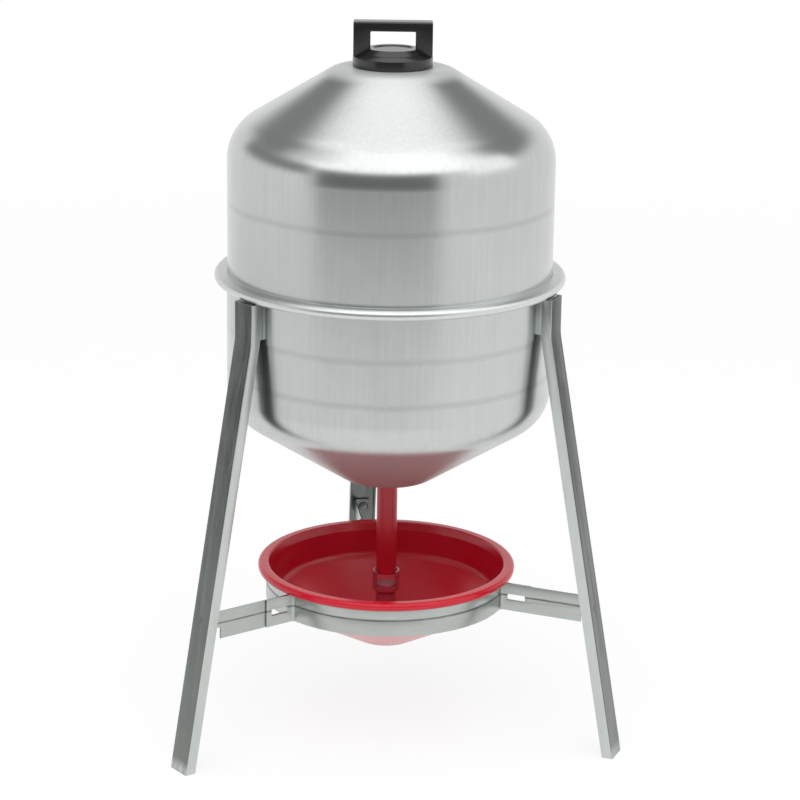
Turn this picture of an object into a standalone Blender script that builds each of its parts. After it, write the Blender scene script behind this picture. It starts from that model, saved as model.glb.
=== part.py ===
"""Poultry waterer fount: a two-shell steel tank on three channel legs, with a screw cap,
a down pipe and a drinking bowl carried by three bent straps.
Units are metres, +Z is up, the origin is on the floor under the tank's axis."""

import math

import bpy
import bmesh
from mathutils import Matrix, Vector

# General fits
CLEAR = 0.0003              # gap between pieces that touch
ROUND = 44                  # facets of the large turned pieces
SMALL_ROUND = 24            # facets of the small turned pieces

# Tank
TANK_R = 0.170              # outside radius of both shells
TANK_WALL = 0.0008
SEAM_Z = 0.500              # mid-plane of the joint between the shells
SHOULDER_Z = 0.6477         # where the top cone would meet the upper wall
SHOULDER_FILLET = 0.050
TOP_SLOPE = math.radians(31.2)
LAND_MARGIN = 0.01587       # flat land beyond the filler neck's flange
LAND_FILLET = 0.030
HEEL_Z = 0.3544             # where the bottom cone would meet the lower wall
HEEL_FILLET = 0.0405
BOTTOM_SLOPE = math.radians(32.6)
BASE_R = 0.04585            # flat base round the outlet
BASE_FILLET = 0.020

# Rolled joint ring
RING_PROUD = 0.0137         # how far the ring stands out from the tank wall
RING_WALL = 0.0007
RING_LIP = 0.0025           # gap between the tank wall and the ring's lips
GASKET_T = 0.0010

# Filler neck and screw cap
NECK_R = 0.0360
NECK_WALL = 0.0025
NECK_RISE = 0.0060          # how far the neck stands above the flat land
NECK_FLANGE_W = 0.0070
NECK_FLANGE_T = 0.0015
CAP_WALL = 0.0040
CAP_SKIRT_GAP = 0.0012      # room for the thread between neck and skirt
CAP_LAND_GAP = 0.0005       # skirt to flat land
CAP_CROWN_T = 0.0029
CAP_SEAL_T = 0.0025
CAP_DISC_R = 0.0300         # raised disc on the cap
CAP_DISC_H = 0.0060
CAP_DISC_RIM = 0.0065       # rim left round the dish in the disc
CAP_DISH_H = 0.0025
HANDLE_INSET = 0.0006       # handle's ends inside the cap's edge
HANDLE_DEPTH = 0.0180
HANDLE_H = 0.0350           # above the cap's base
HANDLE_BAR = 0.0068         # thickness of the top bar
HANDLE_POST = 0.0175        # width of each post
HANDLE_EDGE = 0.0020        # rounding of the handle's edges
HANDLE_ROOT = 0.0015        # how deep the posts run into the base

# Outlet and down pipe
PIPE_R = 0.0110
PIPE_WALL = 0.0022
PIPE_FOOT_DEPTH = 0.0055    # pipe's foot below the bowl's rim
PIPE_HOLE_GAP = 0.0004
PIPE_SHOULDER_W = 0.0028
PIPE_SHOULDER_T = 0.0030
PIPE_STAND = 0.0030         # pipe end above the nut
OUTLET_SEAL_W = 0.0086
OUTLET_SEAL_T = 0.0025
OUTLET_NUT_FLATS = 0.0320   # width across the flats
OUTLET_NUT_T = 0.0080

# Bowl
BOWL_RIM_OVERHANG = 0.0084  # rim beyond the hoop that carries it
BOWL_RIM_H = 0.0070         # height of the rim above the strap
BOWL_RIM_FLARE = 0.0032     # rim's inner edge beyond the wall
BOWL_HOOP_GAP = 0.0017      # wall to hoop at the strap's top edge
BOWL_WALL_DRAFT = 0.0040    # narrowing of the wall over the strap's height
BOWL_T = 0.0025
BOWL_FLOOR_R = 0.0300
BOWL_FLOOR_DROP = 0.0495    # underside of the bowl's centre below the strap
BOWL_BOSS_WALL = 0.0054
BOWL_BOSS_H = 0.0100

# Pipe seat in the bowl
SEAT_STEM_R = 0.0108
SEAT_CUP_WALL = 0.0026
SEAT_CUP_GAP = 0.0010       # pipe to cup
SEAT_CUP_H = 0.0195         # depth of the cup
SEAT_CUP_FLOOR_T = 0.0025
SEAT_NECK_H = 0.0030        # cone under the cup
SEAT_SLOT_W = 0.0190        # opening between the two prongs
SEAT_SLOT_H = 0.0175
SEAT_PLUG_H = 0.0085        # stem inside the boss
PAD_GAP = 0.0012            # pad to cup
PAD_T = 0.0030
PAD_LIFT = 0.0127           # how far the bowl lifts before the pad shuts the pipe

# Legs
LEG_TURN = math.radians(7.16)
LEG_W = 0.0300
LEG_FLANGE = 0.0115
LEG_T = 0.0015
LEG_PROUD = 0.0026          # outside of the web beyond the joint ring
LEG_SPLAY = 0.0824          # how far the web runs out down to the floor
LEG_KNEE_DROP = 0.0461      # knee below the leg's top
LEG_KNEE_BEND = 0.0600
LEG_FOLD_BEND = 0.0020      # rounding of the channel's folds
FOOT_STEPS = 5              # facets of the rolled foot
FOOT_ROOM = 0.0005          # inside radius of the rolled foot's flanges
FOOT_PAD_L = 0.0080         # flat part on the floor
FOOT_FLANGE = 0.0030        # what is left of the flanges at the foot

# Brackets that join the legs to the tank
BRACKET_H = 0.0400
BRACKET_T = 0.0015
BRACKET_DROP = 0.0040       # bracket's top below the leg's top

# Straps round the bowl
STRAP_T = 0.0015
STRAP_H = 0.0300
STRAP_Z = 0.1400            # lower edge
STRAP_R = 0.1300            # outside of the hoop
STRAP_BEND = 0.0040
STRAP_OFFSET = 0.0090       # arms run beside the leg's centre plane
EAR_L = 0.0340              # length of the short ear beyond the hoop
ARM_GAP = 0.00561           # full-height arm stops short of the leg's flanges
TONGUE_H = 0.0175           # height of the tongue that enters the leg
TAB_W = 0.0160              # tab that lies on the leg's web
RIB_Z = 0.0182              # rib above the strap's lower edge
RIB_HALF = 0.0028
RIB_DEPTH = 0.0008
RIB_RUN = 0.0040            # length over which the rib fades out on an arm
HOOP_STEPS = 16             # facets of a third of the hoop
SLOT_INSET = 0.0070         # slot beyond the hoop
SLOT_L = 0.0205
SLOT_H = 0.0070

# Rivets that hold the tabs to the legs
RIVET_R = 0.0030
RIVET_HEAD_R = 0.0056
RIVET_HEAD_H = 0.0028
RIVET_TAIL_R = 0.0050
RIVET_TAIL_H = 0.0012
RIVET_GAP = 0.0002
RIVET_ROUND = 16

# Worked out from the sizes above
RING_R = TANK_R + RING_PROUD
RING_HALF = GASKET_T / 2 + 2 * CLEAR + TANK_WALL + RING_WALL
FLANGE_R = RING_R - RING_HALF
FLANGE_Z = GASKET_T / 2 + CLEAR + TANK_WALL
NECK_FLANGE_R = NECK_R + NECK_FLANGE_W
LAND_R = NECK_FLANGE_R + LAND_MARGIN
LAND_Z = SHOULDER_Z + (TANK_R - LAND_R) * math.tan(TOP_SLOPE)
NECK_TOP_Z = LAND_Z + NECK_RISE
CAP_SKIRT_R = NECK_R + CAP_SKIRT_GAP
CAP_R = CAP_SKIRT_R + CAP_WALL
CAP_BASE_Z = LAND_Z + CAP_LAND_GAP
CAP_CEILING_Z = NECK_TOP_Z + CAP_SEAL_T + 2 * CLEAR
CAP_TOP_Z = CAP_CEILING_Z + CAP_CROWN_T
STRAP_TOP_Z = STRAP_Z + STRAP_H
BASE_Z = HEEL_Z - (TANK_R - BASE_R) * math.tan(BOTTOM_SLOPE)
PIPE_HOLE_R = PIPE_R + PIPE_HOLE_GAP
PIPE_SHOULDER_R = PIPE_R + PIPE_SHOULDER_W
OUTLET_SEAL_R = PIPE_HOLE_R + OUTLET_SEAL_W
OUTLET_SEAL_Z = BASE_Z + TANK_WALL + CLEAR
OUTLET_NUT_Z = OUTLET_SEAL_Z + OUTLET_SEAL_T + CLEAR
PIPE_TOP_Z = OUTLET_NUT_Z + OUTLET_NUT_T + PIPE_STAND
PIPE_FOOT_Z = STRAP_TOP_Z - PIPE_FOOT_DEPTH
BOWL_RIM_R = STRAP_R + BOWL_RIM_OVERHANG
BOWL_RIM_Z = STRAP_TOP_Z + CLEAR
BOWL_WALL_R = STRAP_R - STRAP_T - BOWL_HOOP_GAP
BOWL_RIM_INNER_R = BOWL_WALL_R + BOWL_RIM_FLARE
BOWL_FLOOR_Z = STRAP_Z - BOWL_FLOOR_DROP
BOWL_SOCKET_R = SEAT_STEM_R + CLEAR
BOWL_BOSS_R = BOWL_SOCKET_R + BOWL_BOSS_WALL
BOWL_BOSS_Z = BOWL_FLOOR_Z + BOWL_T + BOWL_BOSS_H
SEAT_FOOT_Z = BOWL_BOSS_Z - SEAT_PLUG_H
SEAT_CUP_R = PIPE_R + SEAT_CUP_GAP
SEAT_OUTER_R = SEAT_CUP_R + SEAT_CUP_WALL
SEAT_CUP_Z = PIPE_FOOT_Z - PAD_LIFT - PAD_T - CLEAR
SEAT_TOP_Z = SEAT_CUP_Z + SEAT_CUP_H
PAD_R = SEAT_CUP_R - PAD_GAP
LEG_TOP_Z = SEAM_Z - RING_HALF - CLEAR
LEG_TOP_R = RING_R + LEG_PROUD
LEG_FOOT_R = LEG_TOP_R + LEG_SPLAY
LEG_KNEE_Z = LEG_TOP_Z - LEG_KNEE_DROP
LEG_SLOPE = LEG_SPLAY / LEG_KNEE_Z
LEG_LEAN = math.atan(LEG_SLOPE)
FOOT_BEND = LEG_FLANGE + FOOT_ROOM
EAR_R = STRAP_R + EAR_L
ARM_R = LEG_TOP_R + (LEG_KNEE_Z - STRAP_TOP_Z) * LEG_SLOPE - LEG_FLANGE - ARM_GAP
SLOT_R0 = STRAP_R + SLOT_INSET
PAIR_HALF = (STRAP_T + CLEAR) / 2
LEG_AZIMUTHS = {
    "left": math.radians(210) + LEG_TURN,
    "right": math.radians(330) + LEG_TURN,
    "back": math.radians(90) + LEG_TURN,
}
STRAP_LEGS = {"front": ("left", "right"), "right": ("right", "back"), "left": ("back", "left")}
STRAP_STEP = math.radians(120)

GALVANISED = ("galvanised_steel", (0.56, 0.58, 0.58), 0.34, 1.0)
ZINC_LEG = ("zinc_plated_leg", (0.50, 0.52, 0.52), 0.38, 1.0)
BLACK_PLASTIC = ("black_plastic", (0.026, 0.026, 0.025), 0.48, 0.0)
RED_PLASTIC = ("red_plastic", (0.46, 0.022, 0.032), 0.32, 0.0)
RUBBER = ("black_rubber", (0.02, 0.02, 0.02), 0.8, 0.0)


def clear_scene():
    """Remove every object of the open scene."""
    for item in list(bpy.data.objects):
        bpy.data.objects.remove(item, do_unlink=True)


def new_collection(name):
    """Make a collection under the scene's own."""
    group = bpy.data.collections.new(name)
    bpy.context.scene.collection.children.link(group)
    return group


def material(name, colour, roughness, metallic):
    """A Principled material for one sub-part."""
    mat = bpy.data.materials.new(name)
    mat.use_nodes = True
    shader = mat.node_tree.nodes["Principled BSDF"]
    shader.inputs["Base Color"].default_value = (*colour, 1.0)
    shader.inputs["Roughness"].default_value = roughness
    shader.inputs["Metallic"].default_value = metallic
    return mat


def add_part(name, mesh, look):
    """Put a mesh into the parts' collection as one named sub-part."""
    piece = bpy.data.objects.new(name, mesh)
    mesh.materials.append(material(f"{name}_{look[0]}", *look[1:]))
    parts.objects.link(piece)
    return piece


def add_cutter(name, mesh):
    """A shape that only cuts others."""
    piece = bpy.data.objects.new(name, mesh)
    piece.hide_render = True
    piece.display_type = "WIRE"
    cutters.objects.link(piece)
    return piece


def arc(centre, radius, start, end, count):
    """Points along an arc in the (r, z) plane, angles in radians, both ends included."""
    steps = [start + (end - start) * i / count for i in range(count + 1)]
    return [(centre[0] + radius * math.cos(a), centre[1] + radius * math.sin(a)) for a in steps]


def profile_mesh(name, points, closed):
    """An edge chain in the XZ plane."""
    mesh = bpy.data.meshes.new(name)
    count = len(points)
    edges = [(i, i + 1) for i in range(count - 1)]
    if closed:
        edges.append((count - 1, 0))
    mesh.from_pydata([(r, 0.0, z) for r, z in points], edges, [])
    return mesh


def spin(piece, facets):
    """Turn a profile a full circle about Z."""
    screw = piece.modifiers.new("turn", "SCREW")
    screw.angle = math.tau
    screw.steps = facets
    screw.render_steps = facets
    screw.use_merge_vertices = True
    screw.merge_threshold = 0.00001
    screw.use_smooth_shade = True
    weld = piece.modifiers.new("close", "WELD")
    weld.merge_threshold = 0.00001
    return piece


def turned(name, points, look, facets=ROUND, closed=True):
    """A solid turned from a profile that runs down its outer side."""
    return spin(add_part(name, profile_mesh(name, points, closed), look), facets)


def turned_shell(name, points, look, wall):
    """A sheet shell turned from its outer profile, thickened inwards."""
    piece = spin(add_part(name, profile_mesh(name, points, False), look), ROUND)
    thicken(piece, wall, -1.0)


def thicken(piece, wall, offset):
    """Give an open surface its sheet thickness."""
    solid = piece.modifiers.new("sheet", "SOLIDIFY")
    solid.thickness = wall
    solid.offset = offset
    solid.use_even_offset = True


def cut(piece, cutter, operation="DIFFERENCE"):
    """Boolean with an exact solver."""
    boolean = piece.modifiers.new(cutter.name, "BOOLEAN")
    boolean.operation = operation
    boolean.solver = "EXACT"
    boolean.object = cutter


def box_mesh(name, low, high):
    """A box between two corners."""
    mesh = bpy.data.meshes.new(name)
    bm = bmesh.new()
    bmesh.ops.create_cube(bm, size=1.0)
    size = [h - l for l, h in zip(low, high)]
    middle = [(h + l) / 2 for l, h in zip(low, high)]
    bmesh.ops.scale(bm, vec=size, verts=bm.verts)
    bmesh.ops.translate(bm, vec=middle, verts=bm.verts)
    bm.to_mesh(mesh)
    bm.free()
    return mesh


def rod_mesh(name, radius, low, high, facets):
    """An upright rod between two heights."""
    mesh = bpy.data.meshes.new(name)
    bm = bmesh.new()
    bmesh.ops.create_cone(bm, cap_ends=True, segments=facets, radius1=radius, radius2=radius,
                          depth=high - low)
    bmesh.ops.translate(bm, vec=(0.0, 0.0, (low + high) / 2), verts=bm.verts)
    bm.to_mesh(mesh)
    bm.free()
    return mesh


def sheet_mesh(name, rows):
    """An open surface through rows of points, all rows of one length."""
    mesh = bpy.data.meshes.new(name)
    bm = bmesh.new()
    across, along = len(rows), len(rows[0])
    bmesh.ops.create_grid(bm, x_segments=across - 1, y_segments=along - 1, size=1.0)
    bm.verts.ensure_lookup_table()
    order = sorted(bm.verts, key=lambda v: (round(v.co.x, 6), round(v.co.y, 6)))
    for index, vert in enumerate(order):
        vert.co = Vector(rows[index // along][index % along])
    bm.to_mesh(mesh)
    bm.free()
    return mesh


def upper_shell():
    """Top half of the tank: flat land, cone, shoulder, wall and joint flange."""
    land_edge = LAND_R - LAND_FILLET * math.tan(TOP_SLOPE / 2)
    turn = math.pi / 2 - TOP_SLOPE
    wall_top = SHOULDER_Z - SHOULDER_FILLET * math.tan(turn / 2)
    points = [(NECK_R + CLEAR, LAND_Z)]
    points += arc((land_edge, LAND_Z - LAND_FILLET), LAND_FILLET, math.pi / 2, math.pi / 2 - TOP_SLOPE, 2)
    points += arc((TANK_R - SHOULDER_FILLET, wall_top), SHOULDER_FILLET, math.pi / 2 - TOP_SLOPE, 0.0, 6)
    points += [(TANK_R, SEAM_Z + FLANGE_Z), (FLANGE_R, SEAM_Z + FLANGE_Z)]
    turned_shell("upper_tank_shell", points, GALVANISED, TANK_WALL)


def lower_shell():
    """Bottom half of the tank: joint flange, wall, heel, cone and flat base with the outlet hole."""
    turn = math.pi / 2 - BOTTOM_SLOPE
    wall_foot = HEEL_Z + HEEL_FILLET * math.tan(turn / 2)
    base_edge = BASE_R - BASE_FILLET * math.tan(BOTTOM_SLOPE / 2)
    points = [(FLANGE_R, SEAM_Z - FLANGE_Z), (TANK_R, SEAM_Z - FLANGE_Z)]
    points += arc((TANK_R - HEEL_FILLET, wall_foot), HEEL_FILLET, 0.0, -turn, 6)
    points += arc((base_edge, BASE_Z + BASE_FILLET), BASE_FILLET,
                  -math.pi / 2 + BOTTOM_SLOPE, -math.pi / 2, 2)
    points += [(PIPE_HOLE_R, BASE_Z)]
    turned_shell("lower_tank_shell", points, GALVANISED, TANK_WALL)


def joint_ring():
    """Rolled ring that clamps the shells' flanges, and the gasket between them."""
    lip_r = TANK_R + RING_LIP
    points = [(lip_r, SEAM_Z + RING_HALF)]
    points += arc((RING_R - RING_HALF, SEAM_Z), RING_HALF, math.pi / 2, -math.pi / 2, 4)
    points += [(lip_r, SEAM_Z - RING_HALF)]
    turned_shell("seam_ring", points, GALVANISED, RING_WALL)
    inner, half = TANK_R - TANK_WALL, GASKET_T / 2
    ring = [(FLANGE_R, SEAM_Z + half), (FLANGE_R, SEAM_Z - half),
            (inner, SEAM_Z - half), (inner, SEAM_Z + half)]
    turned("seam_gasket", ring, RUBBER)


def filler_neck():
    """Neck that stands through the flat land, with its flange inside the tank."""
    flange_top = LAND_Z - TANK_WALL - CLEAR
    flange_foot = flange_top - NECK_FLANGE_T
    bore = NECK_R - NECK_WALL
    points = [(NECK_R, NECK_TOP_Z), (NECK_R, flange_top), (NECK_FLANGE_R, flange_top),
              (NECK_FLANGE_R, flange_foot), (bore, flange_foot), (bore, NECK_TOP_Z)]
    turned("filler_neck", points, GALVANISED)
    seal_foot = NECK_TOP_Z + CLEAR
    seal_top = seal_foot + CAP_SEAL_T
    ring = [(NECK_R, seal_top), (NECK_R, seal_foot), (bore, seal_foot), (bore, seal_top)]
    turned("cap_seal", ring, RUBBER)


def screw_cap():
    """Cap with a raised disc and a loop handle moulded on it."""
    disc_z = CAP_TOP_Z + CAP_DISC_H
    dish_r, dish_z = CAP_DISC_R - CAP_DISC_RIM, disc_z - CAP_DISH_H
    points = [(0.0, dish_z), (dish_r, dish_z), (dish_r, disc_z), (CAP_DISC_R, disc_z),
              (CAP_DISC_R, CAP_TOP_Z), (CAP_R, CAP_TOP_Z),
              (CAP_R, CAP_BASE_Z), (CAP_SKIRT_R, CAP_BASE_Z), (CAP_SKIRT_R, CAP_CEILING_Z),
              (0.0, CAP_CEILING_Z)]
    cap = turned("screw_cap", points, BLACK_PLASTIC, closed=False)
    half_w, half_d = CAP_R - HANDLE_INSET, HANDLE_DEPTH / 2
    top = CAP_TOP_Z + HANDLE_H
    root = CAP_TOP_Z - HANDLE_ROOT
    loop = add_cutter("handle_loop", box_mesh("handle_loop", (-half_w, -half_d, root), (half_w, half_d, top)))
    edge = loop.modifiers.new("edges", "BEVEL")
    edge.width = HANDLE_EDGE
    edge.segments = 2
    inside = half_w - HANDLE_POST
    window = add_cutter("handle_window", box_mesh(
        "handle_window", (-inside, -HANDLE_DEPTH, root - HANDLE_H), (inside, HANDLE_DEPTH, top - HANDLE_BAR)))
    cut(loop, window)
    cut(cap, loop, "UNION")


def outlet():
    """Rubber seal and lock nut that hold the down pipe in the tank's base, and the pipe itself."""
    bore = PIPE_HOLE_R
    top = OUTLET_SEAL_Z + OUTLET_SEAL_T
    ring = [(OUTLET_SEAL_R, top), (OUTLET_SEAL_R, OUTLET_SEAL_Z), (bore, OUTLET_SEAL_Z), (bore, top)]
    turned("outlet_seal", ring, RUBBER, SMALL_ROUND)
    nut_top = OUTLET_NUT_Z + OUTLET_NUT_T
    corner_r = OUTLET_NUT_FLATS / 2 / math.cos(math.pi / 6)
    nut = add_part("outlet_nut", rod_mesh("outlet_nut", corner_r, OUTLET_NUT_Z, nut_top, 6), RED_PLASTIC)
    reach = OUTLET_NUT_T
    cut(nut, add_cutter("nut_bore", rod_mesh(
        "nut_bore", bore, OUTLET_NUT_Z - reach, nut_top + reach, SMALL_ROUND)))
    pipe_bore = PIPE_R - PIPE_WALL
    collar_top = BASE_Z - CLEAR
    collar_foot = collar_top - PIPE_SHOULDER_T
    points = [(PIPE_R, PIPE_TOP_Z), (PIPE_R, collar_top), (PIPE_SHOULDER_R, collar_top),
              (PIPE_SHOULDER_R, collar_foot), (PIPE_R, collar_foot), (PIPE_R, PIPE_FOOT_Z),
              (pipe_bore, PIPE_FOOT_Z), (pipe_bore, PIPE_TOP_Z)]
    turned("down_pipe", points, RED_PLASTIC, SMALL_ROUND)


def bowl():
    """Drinking bowl: rolled rim, drafted wall, conical floor and a boss for the pipe seat."""
    rim_top = BOWL_RIM_Z + BOWL_RIM_H
    rim_round = BOWL_RIM_H / 2
    wall_foot_r = BOWL_WALL_R - BOWL_WALL_DRAFT
    slope = math.atan2(STRAP_Z - BOWL_FLOOR_Z, wall_foot_r - BOWL_FLOOR_R)
    rise = BOWL_T / math.cos(slope)
    inner_foot_r = wall_foot_r - BOWL_T
    inner_foot_z = STRAP_Z + rise - BOWL_T * math.tan(slope)
    floor_z = BOWL_FLOOR_Z + BOWL_T
    inner_floor_r = BOWL_FLOOR_R + (floor_z - BOWL_FLOOR_Z - rise) / math.tan(slope)
    socket_z = SEAT_FOOT_Z - CLEAR
    points = [(0.0, socket_z), (BOWL_SOCKET_R, socket_z), (BOWL_SOCKET_R, BOWL_BOSS_Z),
              (BOWL_BOSS_R, BOWL_BOSS_Z), (BOWL_BOSS_R, floor_z),
              (inner_floor_r, floor_z), (inner_foot_r, inner_foot_z),
              (BOWL_WALL_R - BOWL_T, BOWL_RIM_Z), (BOWL_RIM_INNER_R - BOWL_T, rim_top - BOWL_T / 2),
              (BOWL_RIM_INNER_R, rim_top)]
    points += arc((BOWL_RIM_R - rim_round, BOWL_RIM_Z + rim_round), rim_round, math.pi / 2, -math.pi / 2, 5)
    points += [(BOWL_WALL_R, BOWL_RIM_Z), (wall_foot_r, STRAP_Z), (BOWL_FLOOR_R, BOWL_FLOOR_Z),
               (0.0, BOWL_FLOOR_Z)]
    turned("bowl", points, RED_PLASTIC, closed=False)


def pipe_seat():
    """Two-pronged cup that guides the pipe's foot over the shut-off pad."""
    under_cup = SEAT_CUP_Z - SEAT_CUP_FLOOR_T
    points = [(0.0, SEAT_CUP_Z), (SEAT_CUP_R, SEAT_CUP_Z), (SEAT_CUP_R, SEAT_TOP_Z),
              (SEAT_OUTER_R, SEAT_TOP_Z), (SEAT_OUTER_R, under_cup),
              (SEAT_STEM_R, under_cup - SEAT_NECK_H), (SEAT_STEM_R, SEAT_FOOT_Z), (0.0, SEAT_FOOT_Z)]
    seat = turned("pipe_seat", points, RED_PLASTIC, SMALL_ROUND, closed=False)
    half, reach = SEAT_SLOT_W / 2, 2 * SEAT_OUTER_R
    foot, top = SEAT_TOP_Z - SEAT_SLOT_H, SEAT_TOP_Z + SEAT_CUP_WALL
    cut(seat, add_cutter("prong_gap", box_mesh("prong_gap", (-half, -reach, foot), (half, reach, top))))
    pad_foot = SEAT_CUP_Z + CLEAR
    disc = [(0.0, pad_foot + PAD_T), (PAD_R, pad_foot + PAD_T), (PAD_R, pad_foot), (0.0, pad_foot)]
    turned("seat_pad", disc, RUBBER, SMALL_ROUND, closed=False)


def leg_web(z):
    """Outside radius of a leg's web at a height, straight below the knee and upright above it."""
    return LEG_TOP_R + max(0.0, LEG_KNEE_Z - z) * LEG_SLOPE


def leg_stations():
    """Stations down a leg: point (r, z) outside the web, inward direction and flange depth.
    The knee is an arc, and the foot is rolled inwards on an arc until it lies flat."""
    tangent = LEG_KNEE_BEND * math.tan(LEG_LEAN / 2)
    knee = arc((LEG_TOP_R + LEG_KNEE_BEND, LEG_KNEE_Z + tangent), LEG_KNEE_BEND,
               math.pi, math.pi + LEG_LEAN, 4)
    level = (-1.0, 0.0)
    stations = [(point, level, LEG_FLANGE) for point in [(LEG_TOP_R, LEG_TOP_Z)] + knee]
    roll_r = LEG_FOOT_R - FOOT_BEND * (1 + math.sin(LEG_LEAN)) / math.cos(LEG_LEAN)
    for i in range(FOOT_STEPS + 1):
        share = i / FOOT_STEPS
        angle = LEG_LEAN - (LEG_LEAN + math.pi / 2) * share
        out = (math.cos(angle), math.sin(angle))
        point = (roll_r + FOOT_BEND * out[0], FOOT_BEND + FOOT_BEND * out[1])
        depth = LEG_FLANGE + (FOOT_FLANGE - LEG_FLANGE) * share
        stations.append((point, (-out[0], -out[1]), depth))
    return stations + [((roll_r - FOOT_PAD_L, 0.0), (0.0, 1.0), FOOT_FLANGE)]


def channel_section(width, flange, bend):
    """Points (inward, across) round the outside of a channel, folds as arcs."""
    half = width / 2
    one = [(bend - bend * math.cos(a), bend * math.sin(a)) for a in (0.0, math.pi / 4, math.pi / 2)]
    side = [(flange, -half)] + [(inward, -(half - bend + outward)) for inward, outward in reversed(one)]
    return side + [(inward, -across) for inward, across in reversed(side)]


def place(local, azimuth):
    """Point (radial, across, z) beside a leg to world coordinates."""
    radial, across, z = local
    c, s = math.cos(azimuth), math.sin(azimuth)
    return (radial * c - across * s, radial * s + across * c, z)


def leg(side):
    """Channel leg with its foot rolled flat."""
    name = f"leg_{side}"
    azimuth = LEG_AZIMUTHS[side]
    rows = []
    for (r, z), (inward_r, inward_z), flange in leg_stations():
        section = channel_section(LEG_W, flange, LEG_FOLD_BEND)
        rows.append([place((r + inward_r * depth, across, z + inward_z * depth), azimuth)
                     for depth, across in section])
    piece = add_part(name, sheet_mesh(name, rows), ZINC_LEG)
    thicken(piece, LEG_T, -1.0)
    cut(piece, rivet_hole(side))


def bracket(side):
    """Channel bracket welded to the lower shell, inside the top of a leg."""
    name = f"leg_bracket_{side}"
    width = LEG_W - 2 * LEG_T - 2 * CLEAR
    web_r = LEG_TOP_R - LEG_T - CLEAR
    tank_r = math.sqrt(TANK_R ** 2 - (width / 2) ** 2) + CLEAR
    section = channel_section(width, web_r - tank_r, LEG_FOLD_BEND)
    top = LEG_TOP_Z - BRACKET_DROP
    rows = [[place((web_r - inward, across, z), LEG_AZIMUTHS[side]) for inward, across in section]
            for z in (top, top - BRACKET_H)]
    thicken(add_part(name, sheet_mesh(name, rows), ZINC_LEG), BRACKET_T, -1.0)


def rivet_matrix(side):
    """Frame of a rivet: +Z out of the web, origin on the web's outside."""
    z = STRAP_TOP_Z - TONGUE_H / 2
    across = STRAP_OFFSET - PAIR_HALF - (STRAP_BEND + TAB_W) / 2
    spot = Vector(place((leg_web(z), across, z), LEG_AZIMUTHS[side]))
    tilt = Matrix.Rotation(math.pi / 2 - LEG_LEAN, 4, "Y")
    return Matrix.Translation(spot) @ Matrix.Rotation(LEG_AZIMUTHS[side], 4, "Z") @ tilt


def rivet_hole(side):
    """Cutter for a rivet's hole, made once for the leg and the strap's tab."""
    name = f"rivet_hole_{side}"
    if name in bpy.data.objects:
        return bpy.data.objects[name]
    reach = LEG_T + STRAP_T + 4 * CLEAR
    hole = add_cutter(name, rod_mesh(name, RIVET_R + RIVET_GAP, -reach, reach, RIVET_ROUND))
    hole.matrix_world = rivet_matrix(side)
    return hole


def rivets():
    """A round-headed rivet at each leg, its head on the strap's tab."""
    grip = LEG_T + STRAP_T + 2 * CLEAR
    points = [(0.0, CLEAR + RIVET_TAIL_H), (RIVET_TAIL_R, CLEAR + RIVET_TAIL_H), (RIVET_TAIL_R, CLEAR),
              (RIVET_R, CLEAR), (RIVET_R, -grip), (RIVET_HEAD_R, -grip)]
    points += [(RIVET_HEAD_R * math.cos(a), -grip - RIVET_HEAD_H * math.sin(a))
               for a in (math.pi / 8, math.pi / 4, 3 * math.pi / 8)]
    points += [(0.0, -grip - RIVET_HEAD_H)]
    for side in LEG_AZIMUTHS:
        rivet = turned(f"strap_rivet_{side}", points, ZINC_LEG, RIVET_ROUND, closed=False)
        rivet.matrix_world = rivet_matrix(side)


def strap_path(z):
    """Mid-line of a strap at a height, from its ear to its tab, in the first leg's frame.
    Each entry is a point and how far the pressed rib moves it at full depth."""
    hoop = STRAP_R - STRAP_T / 2
    bend = STRAP_BEND
    ear = STRAP_OFFSET + PAIR_HALF
    arm = STRAP_OFFSET - PAIR_HALF
    ear_bend = math.sqrt((hoop + bend) ** 2 - (ear + bend) ** 2)
    arm_bend = math.sqrt((hoop + bend) ** 2 - (arm - bend) ** 2)
    first = math.atan2(ear + bend, ear_bend)
    last = STRAP_STEP + math.atan2(arm - bend, arm_bend)
    still = (0.0, 0.0)
    path = [((EAR_R, ear), still)]
    path += [(p, still) for p in arc((ear_bend, ear + bend), bend, -math.pi / 2, first - math.pi, 3)]
    for i in range(1, HOOP_STEPS):
        a = first + (last - first) * i / HOOP_STEPS
        path.append(((hoop * math.cos(a), hoop * math.sin(a)), (-math.cos(a), -math.sin(a))))
    tab_r = leg_web(z) - (LEG_T + CLEAR + STRAP_T / 2) / math.cos(LEG_LEAN)
    local = [(p, still) for p in arc((arm_bend, arm - bend), bend,
                                     last - STRAP_STEP + math.pi, math.pi / 2, 3)]
    local += [((EAR_R, arm), still), ((EAR_R + RIB_RUN, arm), (0.0, 1.0)),
              ((ARM_R - RIB_RUN, arm), (0.0, 1.0)), ((ARM_R, arm), still)]
    local += [(p, still) for p in arc((tab_r - bend, arm - bend), bend, math.pi / 2, 0.0, 3)]
    local += [((tab_r, arm - TAB_W), still)]
    c, s = math.cos(STRAP_STEP), math.sin(STRAP_STEP)
    for (x, y), (nx, ny) in local:
        path.append(((x * c - y * s, x * s + y * c), (nx * c - ny * s, nx * s + ny * c)))
    return path


def slot_cutter(side):
    """Cutter for the slot through an ear and the arm behind it, made once for each leg."""
    name = f"strap_slot_{side}"
    if name in bpy.data.objects:
        return bpy.data.objects[name]
    middle = STRAP_Z + STRAP_H / 2
    low = (SLOT_R0, STRAP_OFFSET - SLOT_L / 2, middle - SLOT_H / 2)
    high = (SLOT_R0 + SLOT_L, STRAP_OFFSET + SLOT_L / 2, middle + SLOT_H / 2)
    slot = add_cutter(name, box_mesh(name, low, high))
    slot.rotation_euler.z = LEG_AZIMUTHS[side]
    return slot


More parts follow.
